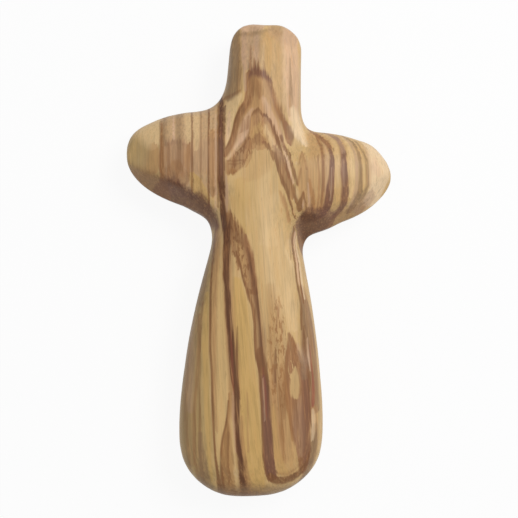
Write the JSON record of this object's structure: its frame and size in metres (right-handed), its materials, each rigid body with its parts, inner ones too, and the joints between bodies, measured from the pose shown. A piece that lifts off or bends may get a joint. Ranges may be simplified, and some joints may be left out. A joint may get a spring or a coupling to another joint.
{
  "type": "holding cross",
  "caption": "Palm-sized carved wooden cross with rounded, upswept arms, a short head and a flared, rounded foot, shaped to be held in a closed hand.",
  "frame": {"origin": "on the flat of the back, under the point where the arms cross the upright", "axes": "+X towards the right arm, +Y towards the head, +Z out of the front; the cross lies on its back"},
  "size_m": [0.0648, 0.1154, 0.019],
  "materials": {
    "olive_wood": "sanded smooth and waxed, with a soft sheen"
  },
  "bodies": {
    "root": {"cross_body": "olive_wood"}
  },
  "joints": []
}
